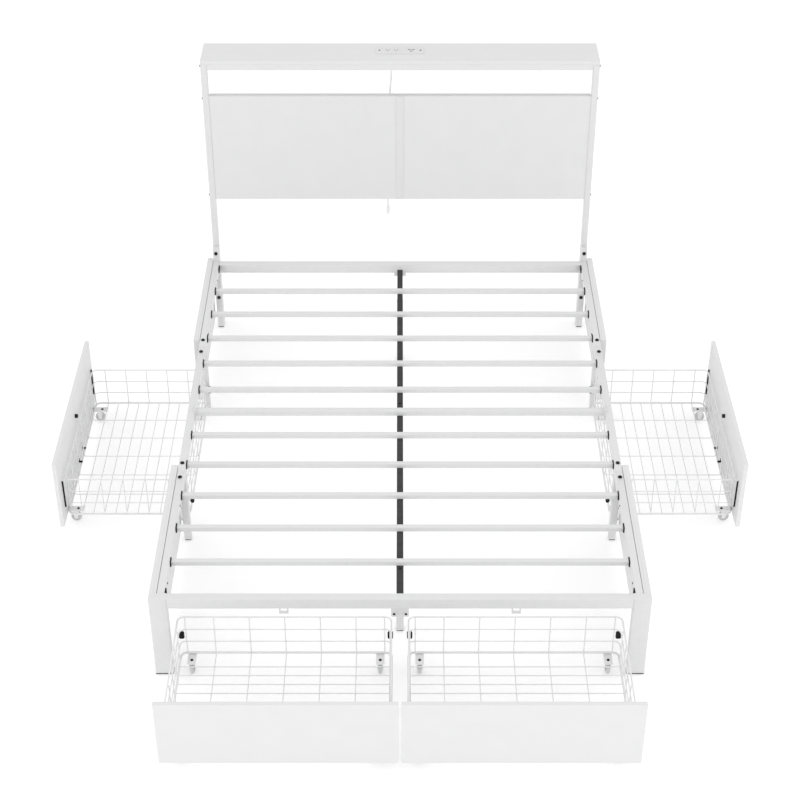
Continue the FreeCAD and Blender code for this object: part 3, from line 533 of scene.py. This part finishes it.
def crossbar():
    """The wider bar among the slats: a tube with a welded flange at each end."""
    def build(mesh, solid):
        front = solid.centre.y - CROSSBAR_HALF
        back = solid.centre.y + CROSSBAR_HALF
        low = Vector((solid.low.x + CROSSBAR_FLANGE, front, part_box("slats")[0].z))
        tube(mesh, low, Vector((solid.high.x - CROSSBAR_FLANGE, back, low.z + CROSSBAR_HIGH)), X)
        for side in (-1, 1):
            outer = solid.high.x * side
            near, far = sorted((outer, outer - side * CROSSBAR_FLANGE))
            block(mesh, Vector((near, solid.low.y, solid.low.z)),
                  Vector((far, solid.high.y, solid.high.z)), X, 5 * MM, 0.6 * MM)
            at = outer - side * (CROSSBAR_FLANGE + 0.3 * MM)
            for level in (low.z, low.z + CROSSBAR_HIGH):
                start = Vector((at, front + 3 * MM, level))
                bead(mesh, [start, Vector((at, back - 3 * MM, level))], FILLET)
            for edge in (front, back):
                start = Vector((at, edge, low.z + 3 * MM))
                bead(mesh, [start, Vector((at, edge, low.z + 17 * MM))], FILLET)

    redo("crossbar", build)


def pads_and_caps():
    """Rubber pads under the legs and plastic caps on the slats' ends."""
    redo("foot_pads", lambda mesh, solid: block(mesh, solid.low, solid.high, Z, 3 * MM, 1.0 * MM))

    def cap(mesh, solid):
        side = 1 if solid.centre.x > 0 else -1
        outer = solid.high.x if side > 0 else solid.low.x
        near, far = sorted((outer, outer - side * CAP_THICK))
        face = solid.part(X, near - MM, far + MM)
        low = Vector((near, solid.low.y, face.low.z))
        high = Vector((far, solid.high.y, face.high.z))
        block(mesh, low, high, X, 3.5 * MM, 1.4 * MM)

    redo("slat_caps", cap)


def bolts():
    """Domed cap bolts with hexagon sockets, each where its CAD bolt is."""
    black = bmesh.new()
    white = bmesh.new()
    bar_low, bar_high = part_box("crossbar")
    for solid in solids("frame_bolts"):
        past = abs(solid.centre.x) - bar_high.x
        on_flange = bar_low.y < solid.centre.y < bar_high.y and -10 * MM < past < 8 * MM
        mesh = white if on_flange else black
        spans = [abs(solid.size[(i + 1) % 3] - solid.size[(i + 2) % 3]) for i in range(3)]
        axis = spans.index(min(spans))
        radius = max(solid.size[(axis + 1) % 3], solid.size[(axis + 2) % 3]) / 2

        def reach(point):
            off = point - solid.centre
            off[axis] = 0
            return off.length

        wide = [p[axis] for p in solid.points if reach(p) > 0.93 * radius]
        top = solid.high[axis] if max(wide) > solid.centre[axis] else solid.low[axis]
        sign = 1 if top == solid.high[axis] else -1
        under = min(wide) if sign > 0 else max(wide)
        high = abs(top - under)
        out = Vector((0, 0, 0))
        out[axis] = sign
        centre = solid.centre.copy()
        centre[axis] = under
        socket = radius * 0.42
        profile = [
            (-0.6 * MM, radius * 0.4), (0.0, radius * 0.93), (high * 0.12, radius),
            (high * 0.42, radius), (high * 0.66, radius * 0.94), (high * 0.86, radius * 0.80),
            (high * 0.97, radius * 0.62), (high, radius * 0.52), (high * 0.97, socket),
            (high * 0.35, socket * 0.97), (high * 0.3, socket * 0.5),
        ]
        turned(mesh, centre, out, profile, sides=24, hexagon=(8, 9))
    finish_piece("cap_bolts", black, "black_steel", BED, ["frame_bolts"])
    finish_piece("flange_screws", white, "frame_white", BED)


# ---- drawers ----
def drawer_frame(name):
    """From a drawer's own frame, where its rear wall is Y = 0 and it opens to -Y, to the row's."""
    joint = next(j for j in frame["joints"] if j["name"] == name + "_slide")
    out = Vector(joint["axis"])
    across = Vector((-out.y, out.x, 0))
    low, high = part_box(name + "_basket")
    middle = (low + high) / 2
    deep = abs((high - low).dot(out))
    origin = Vector((middle.x, middle.y, 0)) - out * (deep / 2 - PROUD)
    return Matrix((
        (across.x, -out.x, 0, origin.x),
        (across.y, -out.y, 0, origin.y),
        (0, 0, 1, 0),
        (0, 0, 0, 1),
    ))


def basket(name, to_row):
    """A welded basket: closed hoops outside, and wires bent down one wall, across and up the other."""
    low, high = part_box(name + "_basket")
    size = to_row.to_3x3().inverted() @ (high - low)
    half = abs(size.x) / 2 - PROUD
    deep = abs(size.y) - 2 * PROUD
    floor = low.z + BASE_R
    top = high.z - RIM_R
    inset = RIM_R + WIRE_R - WELD
    mesh = bmesh.new()

    def hoop(level, radius, grow):
        corners = [
            (half + grow, grow, level), (-half - grow, grow, level),
            (-half - grow, -deep - grow, level), (half + grow, -deep - grow, level),
        ]
        wire(mesh, bent(corners, CORNER_R + grow, closed=True), radius, closed=True)

    ring_out = 2 * WIRE_R - WELD - inset
    hoop(top, RIM_R, 0.0)
    for level in HOOP_LEVELS:
        hoop(level, WIRE_R, ring_out)
    hoop(floor, BASE_R, 0.0)

    long_wires = [-half + 2 * half * index / FLOOR_CELLS for index in range(1, FLOOR_CELLS)]
    floor_wire = floor - FLOOR_DROP
    for at in long_wires:
        corners = [
            (at, -inset, top), (at, -inset, floor_wire),
            (at, -deep + inset, floor_wire), (at, -deep + inset, top),
        ]
        wire(mesh, bent(corners, WIRE_BEND_R), WIRE_R)
        for wall in (-inset, -deep + inset):
            sign = 1 if wall > -deep / 2 else -1
            for level in HOOP_LEVELS:
                nugget(mesh, Vector((at, wall + sign * WIRE_R, level)), HOOP_BEAD)
            nugget(mesh, Vector((at, wall + sign * WIRE_R, top)), RIM_BEAD)
            nugget(mesh, Vector((at, wall + sign * WIRE_R, floor + MM)), BASE_BEAD)
    level = floor_wire + 2 * WIRE_R - WELD
    for index in range(CROSS_WIRES):
        at = -CROSS_FIRST - index * CROSS_PITCH
        if index % 2 == 0:
            corners = [
                (-half + inset, at, top), (-half + inset, at, level),
                (half - inset, at, level), (half - inset, at, top),
            ]
            wire(mesh, bent(corners, WIRE_BEND_R), WIRE_R)
            for side in (-1, 1):
                for height in HOOP_LEVELS + [top]:
                    nugget(mesh, Vector((side * (half - inset + WIRE_R), at, height)), HOOP_BEAD)
        else:
            ends = [Vector((-half + WELD, at, level)), Vector((half - WELD, at, level))]
            wire(mesh, ends, WIRE_R)
        for cross in long_wires:
            nugget(mesh, Vector((cross, at, level - WIRE_R + 0.2 * MM)), FLOOR_BEAD)
        for side in (-1, 1):
            nugget(mesh, Vector((side * (half - WIRE_R), at, floor + 1.5 * MM)), SIDE_BEAD)
    edge = half - CORNER_R - MM
    for at in (-edge, edge):
        for wall in (-inset, -deep + inset):
            wire(mesh, [Vector((at, wall, floor + MM)), Vector((at, wall, top))], WIRE_R)
    finish_piece(name + "_wire_basket", mesh, "wire_white", name, [name + "_basket"], to_row, sharp=50)


def casters(name, to_row):
    """Fixed casters: a folded fork under the base ring, and a wheel on a riveted pin."""
    to_local = to_row.inverted()
    forks = bmesh.new()
    wheels = {group: solids(f"{name}_{group}_wheels", to_local) for group in ("rear", "front")}
    for solid in solids(name + "_caster_forks", to_local):
        every = wheels["rear"] + wheels["front"]
        wheel = min(every, key=lambda w: (w.centre - solid.centre).length)
        axle = wheel.centre
        top = solid.high.z
        plate = solid.part(Z, top - FORK_PLATE - 0.5 * MM, top)
        low = Vector((plate.low.x, plate.low.y, top - FORK_PLATE))
        block(forks, low, Vector((plate.high.x, plate.high.y, top)), Z, 4 * MM, 0.7 * MM)
        for side in (-1, 1):
            inner = axle.x + side * (wheel.size.x / 2 + MM)
            outer = inner + side * FORK_CHEEK
            lift = top - FORK_PLATE + 0.5 * MM
            outline = [(axle.y - FORK_HALF_WIDE, lift)]
            for step in range(9):
                angle = math.pi + math.pi * step / 8
                outline.append((axle.y + FORK_NOSE_R * math.cos(angle),
                                axle.z + FORK_NOSE_R * math.sin(angle)))
            outline.append((axle.y + FORK_HALF_WIDE, lift))
            loft(forks, [[Vector((at, y, z)) for y, z in outline] for at in (inner, outer)])
            turned(forks, Vector((outer, axle.y, axle.z)), Vector((side, 0, 0)), RIVET, 16)
            bend_at = Vector((inner + side * MM, axle.y - 11 * MM, lift - 0.4 * MM))
            bead(forks, [bend_at, bend_at + Vector((0, 22 * MM, 0))], FORK_FILLET)
        pin_half = wheel.size.x / 2 + 1.5 * MM
        turned(forks, axle - Vector((pin_half, 0, 0)), Vector((1, 0, 0)),
               [(0, PIN_R), (2 * pin_half, PIN_R)], 14)
    finish_piece(name + "_folded_forks", forks, "wire_white", name, [name + "_caster_forks"], to_row)
    for group, pair in wheels.items():
        mesh = bmesh.new()
        for wheel in pair:
            half = wheel.size.x / 2
            radius = wheel.size.z / 2
            side = [
                (-half + 0.2 * MM, 2.6 * MM), (-half + 0.2 * MM, 5.2 * MM),
                (-half + 2.2 * MM, 6.2 * MM), (-half + 2.4 * MM, radius - 6.0 * MM),
                (-half + 0.4 * MM, radius - 4.8 * MM), (-half, radius - 2.6 * MM),
                (-half + 0.7 * MM, radius - 0.8 * MM), (-half + 2.0 * MM, radius),
            ]
            profile = side + [(-at, reach) for at, reach in reversed(side)]
            spokes = [Vector((0, math.cos(turn), math.sin(turn))) for turn in WHEEL_TURNS]
            rings = []
            for at, reach in profile:
                rings.append([wheel.centre + Vector((at, 0, 0)) + spoke * reach for spoke in spokes])
            loft(mesh, rings, loop=True)
            for index in range(WHEEL_SPOKES):
                angle = 2 * math.pi * index / WHEEL_SPOKES
                out = Vector((0, math.cos(angle), math.sin(angle)))
                for face in (-1, 1):
                    start = wheel.centre + out * 5.0 * MM + Vector((face * (half - 2.2 * MM), 0, 0))
                    wire(mesh, [start, start + out * (radius - 10.5 * MM)], 1.3 * MM, sides=6)
        node = f"{name}_{group}_wheels"
        finish_piece(f"{name}_{group}_moulded_wheels", mesh, "wheel_grey", node + "_body",
                     [node], to_row)


def fittings(name, to_row):
    """Black fittings: clips, rear blocks, a catch disc and caster screws; and corner angles with screws, whose
    thin black sheets are a painted shadow line along the white angle's edge.
    """
    mesh = bmesh.new()
    for solid in solids(name + "_fittings", to_row.inverted()):
        low, high = solid.low, solid.high
        side = 1 if solid.centre.x > 0 else -1
        if solid.size.z > ANGLE_MIN_HIGH:
            # Corner angle: its black sheets are painted shade, a dark line standing in for the shadow at the white
            # angle's edge; its two screws are dark in their own right.
            inner = high.x - ANGLE_IN if side > 0 else low.x + ANGLE_IN
            for reach, deep in ((ANGLE_SHEET, 6 * MM), (-3.0 * MM, ANGLE_SHEET)):
                near, far = sorted((inner, inner + side * reach))
                block(mesh, Vector((near, low.y, low.z)), Vector((far, low.y + deep, high.z)),
                      Z, 0.5 * MM, 0.4 * MM)
            for level in (low.z + 19 * MM, high.z - 18 * MM):
                turned(mesh, Vector((inner - side * 2.0 * MM, low.y + MM, level)), Vector((0, 1, 0)),
                       ANGLE_SCREW, 16)
        elif low.y > 0:
            block(mesh, low, high, Z, 5 * MM, 2.5 * MM)
            for level in (low.z + 7 * MM, high.z - 7 * MM):
                at = solid.centre.x
                ends = [Vector((at - 7 * MM, low.y, level)), Vector((at + 7 * MM, low.y, level))]
                bead(mesh, ends, LEG_FILLET)
        elif solid.centre.z > CATCH_MIN_LEVEL:
            radius = solid.size.x / 2
            deep = solid.size.y
            turned(mesh, Vector((solid.centre.x, low.y, solid.centre.z)), Vector((0, 1, 0)),
                   [(0, radius), (deep - MM, radius), (deep, radius - MM), (deep, radius * 0.62),
                    (deep - 0.9 * MM, radius * 0.56), (deep - 0.9 * MM, radius * 0.2)])
        elif solid.centre.z < CASTER_SCREW_MAX_LEVEL:
            radius = solid.size.x / 2
            turned(mesh, Vector((solid.centre.x, solid.centre.y, low.z)), Vector((0, 0, 1)),
                   [(0, radius), (0.9 * MM, radius), (2.2 * MM, radius * 0.8), (3 * MM, radius * 0.45),
                    (2.9 * MM, radius * 0.35), (1.6 * MM, radius * 0.32)], 20, hexagon=(4, 5))
        else:
            block(mesh, low, Vector((high.x, high.y, low.z + CLIP_SHEET)), Z, 1.5 * MM, 0.5 * MM)
            block(mesh, low, Vector((high.x, low.y + CLIP_SHEET, high.z)), Z, MM, 0.5 * MM)
            turned(mesh, Vector((solid.centre.x, low.y + 2.4 * MM, high.z - 7 * MM)), Vector((0, 1, 0)),
                   CLIP_SCREW, 16)
    node = name + "_fittings"
    # This piece holds the real black fittings and the corner angles' black sheets, which are painted shade.
    finish_piece(name + "_black_fittings_and_painted_angle_shade", mesh, SLOT_OF[node], name, [node], to_row)


def welds():
    """Fillet welds where the rails, legs and beam of the steel frame meet."""
    mesh = bmesh.new()
    rail_low, rail_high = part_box("foot_rail")
    head_low, head_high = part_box("head_rail")
    beam_low, beam_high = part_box("center_beam")
    bottom = rail_low.z + 4 * MM
    top = rail_high.z - 4 * MM
    for side in (-1, 1):
        leg = rail_high.x * side
        start = Vector((leg, rail_low.y + 3 * MM, rail_low.z))
        bead(mesh, [start, Vector((leg, rail_high.y - 3 * MM, rail_low.z))], LEG_FILLET)
        rail = head_high.x * side
        for at in (rail_high.y, head_low.y, head_high.y):
            bead(mesh, [Vector((rail, at, bottom)), Vector((rail, at, top))], RAIL_FILLET)
    finish_piece("rail_welds", mesh, "frame_white", BED)
    mesh = bmesh.new()
    for leg in solids("center_legs"):
        for at in (leg.low.y, leg.high.y):
            start = Vector((beam_low.x + 2 * MM, at, beam_low.z))
            bead(mesh, [start, Vector((beam_high.x - 2 * MM, at, beam_low.z))], RAIL_FILLET)
    finish_piece("beam_welds", mesh, SLOT_OF["center_legs"], BED)


def finishes():
    """Gives every CAD node its slot's finish. Boards, which nothing replaces, show in it."""
    for node, thing in frame["nodes"].items():
        material = FINISH[SLOT_OF[node]]
        if thing.material_slots:
            for material_slot in thing.material_slots:
                material_slot.material = material
        else:
            thing.data.materials.append(material)


# ---- power station ----
def power_station():
    """The shelf's socket plate: two mains outlets on the left, three charging ports on the right."""
    low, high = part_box("power_station_plate")
    plate = bmesh.new()
    # Mesh for the black patches that paint the shade inside the outlet and port openings.
    dark = bmesh.new()
    block(plate, low, high, Z, 6 * MM, 0.8 * MM)
    level = high.z
    row = (low.y + high.y) / 2

    def face(at, along, half_u, half_v, radius):
        block(plate, Vector((at - half_u, along - half_v, level - 0.5 * MM)),
              Vector((at + half_u, along + half_v, level + 0.6 * MM)), Z, radius, 0.4 * MM)

    # Each slot is a flat black patch laid on the face in place of an open hole: painted shade of the opening.
    def slot(at, along, half_u, half_v, radius=0.5 * MM):
        block(dark, Vector((at - half_u, along - half_v, level)),
              Vector((at + half_u, along + half_v, level + 0.7 * MM)), Z, radius, 0.05 * MM)

    for middle in OUTLETS:
        face(middle, row, 14.5 * MM, 17 * MM, 9 * MM)
        slot(middle - 6 * MM, row + 3 * MM, 1.1 * MM, 4.0 * MM)
        slot(middle + 6 * MM, row + 3 * MM, 1.1 * MM, 3.4 * MM)
        slot(middle, row - 8 * MM, 2.4 * MM, 2.4 * MM, 2.3 * MM)
    for middle, shift in PORTS:
        face(middle, row + shift, 7.2 * MM, 4.0 * MM, 1.5 * MM)
        slot(middle, row + shift, 5.6 * MM, 2.2 * MM)
    finish_piece("socket_plate", plate, "station_plastic", BED, ["power_station_plate"])
    # The black patches are painted shade of the openings, not cut holes.
    finish_piece("socket_hole_shade", dark, "black_plastic", BED)


# ---- power cord ----
def power_cord():
    """The hanging cord with its ribbed strain relief, moulded plug and two flat blades."""
    curve = bpy.data.curves.new("hanging_cord", "CURVE")
    curve.dimensions = "3D"
    curve.resolution_u = 8
    curve.bevel_depth = CORD_D / 2
    curve.bevel_resolution = 4
    spline = curve.splines.new("NURBS")
    spline.points.add(len(CORD_ROUTE) - 1)
    for point, place in zip(spline.points, CORD_ROUTE):
        point.co = (*place, 1.0)
    spline.order_u = 3
    spline.use_endpoint_u = True
    curve.materials.append(CORD_WHITE)
    cord = bpy.data.objects.new("hanging_cord", curve)
    bpy.context.scene.collection.objects.link(cord)
    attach(cord, BED)
    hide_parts("power_cord")

    mesh = bmesh.new()
    low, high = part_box("cord_strain_relief")
    length = high.z - low.z
    profile = []
    ribs = 6
    for index in range(ribs):
        base = index / ribs
        thin = 4.4 * MM + 3.0 * MM * base
        profile.append((length * (base + 0.02), thin - 0.5 * MM))
        profile.append((length * (base + 0.05), thin + 0.2 * MM))
        profile.append((length * (base + 0.11), thin + 0.4 * MM))
        profile.append((length * (base + 0.14), thin - 0.3 * MM))
    profile.append((length, 7.8 * MM))
    turned(mesh, Vector(((low.x + high.x) / 2, (low.y + high.y) / 2, low.z)), (0, 0, 1), profile)
    relief = finish_piece("ribbed_strain_relief", mesh, "cord_white", BED, ["cord_strain_relief"])

    mesh = bmesh.new()
    end = Vector(CORD_ROUTE[-1])
    along = (end - Vector(CORD_ROUTE[-2])).normalized()
    profile = [
        (-0.2 * MM, 3.6 * MM), (0.5 * MM, 4.8 * MM), (4 * MM, 5.4 * MM), (9 * MM, 7.4 * MM),
        (12 * MM, 8.3 * MM), (17 * MM, 8.4 * MM), (22 * MM, 7.9 * MM), (27 * MM, 8.4 * MM),
        (29.2 * MM, 8.2 * MM), (PLUG_LONG, 7.2 * MM),
    ]
    turned(mesh, end, along, profile)
    plug = finish_piece("moulded_plug", mesh, "cord_white", BED, ["power_plug"])
    mesh = bmesh.new()
    for side in (-BLADE_HALF_GAP, BLADE_HALF_GAP):
        tip = end + along * PLUG_LONG + Vector((side, 0, 0))
        block(mesh, tip + Vector((-0.75 * MM, -3.2 * MM, -15.5 * MM)),
              tip + Vector((0.75 * MM, 3.2 * MM, MM)), Z, 0.7 * MM, 0.7 * MM)
    blades = finish_piece("plug_blades", mesh, "black_steel", BED)


# ---- studio ----
def studio():
    """A pale floor, soft even light and the camera."""
    floor_mesh = bmesh.new()
    square = ((-1, -1), (1, -1), (1, 1), (-1, 1))
    corners = [floor_mesh.verts.new((x * FLOOR_REACH, y * FLOOR_REACH, FLOOR_LEVEL)) for x, y in square]
    floor_mesh.faces.new(corners)
    data = bpy.data.meshes.new("studio_floor")
    floor_mesh.to_mesh(data)
    floor_mesh.free()
    pale = surface("studio_floor", (0.86, 0.86, 0.86), 0.9, grain=60, height=0.0, mottle=0.003,
                   wave=1.5, glow=0.24)
    data.materials.append(pale)
    floor = bpy.data.objects.new("studio_floor", data)
    bpy.context.scene.collection.objects.link(floor)

    world = bpy.data.worlds.new("studio")
    bpy.context.scene.world = world
    world.use_nodes = True
    background = world.node_tree.nodes["Background"]
    background.inputs["Color"].default_value = (1.0, 1.0, 1.0, 1.0)
    background.inputs["Strength"].default_value = WORLD_LIGHT

    def lamp(name, place, aim, size, power):
        light = bpy.data.lights.new(name, "AREA")
        light.shape = "RECTANGLE"
        light.size = size[0]
        light.size_y = size[1]
        light.energy = power
        thing = bpy.data.objects.new(name, light)
        thing.location = place
        thing.rotation_euler = (Vector(aim) - Vector(place)).to_track_quat("-Z", "Y").to_euler()
        bpy.context.scene.collection.objects.link(thing)

    for row in LAMPS:
        lamp(*row)

    camera_data = bpy.data.cameras.new("camera")
    camera_data.sensor_width = 36.0
    camera_data.lens = LENS_MM
    camera = bpy.data.objects.new("camera", camera_data)
    camera.location = CAMERA_AT
    camera.rotation_euler = (math.radians(CAMERA_TILT), 0.0, 0.0)
    bpy.context.scene.collection.objects.link(camera)
    bpy.context.scene.camera = camera
    bpy.context.scene.view_settings.view_transform = "Standard"
    bpy.context.scene.view_settings.look = "None"


finishes()
brackets()
rails()
mid_legs()
crossbar()
pads_and_caps()
bolts()
welds()
for drawer in DRAWERS:
    own = drawer_frame(drawer)
    basket(drawer, own)
    fittings(drawer, own)
    casters(drawer, own)
power_station()
power_cord()
studio()
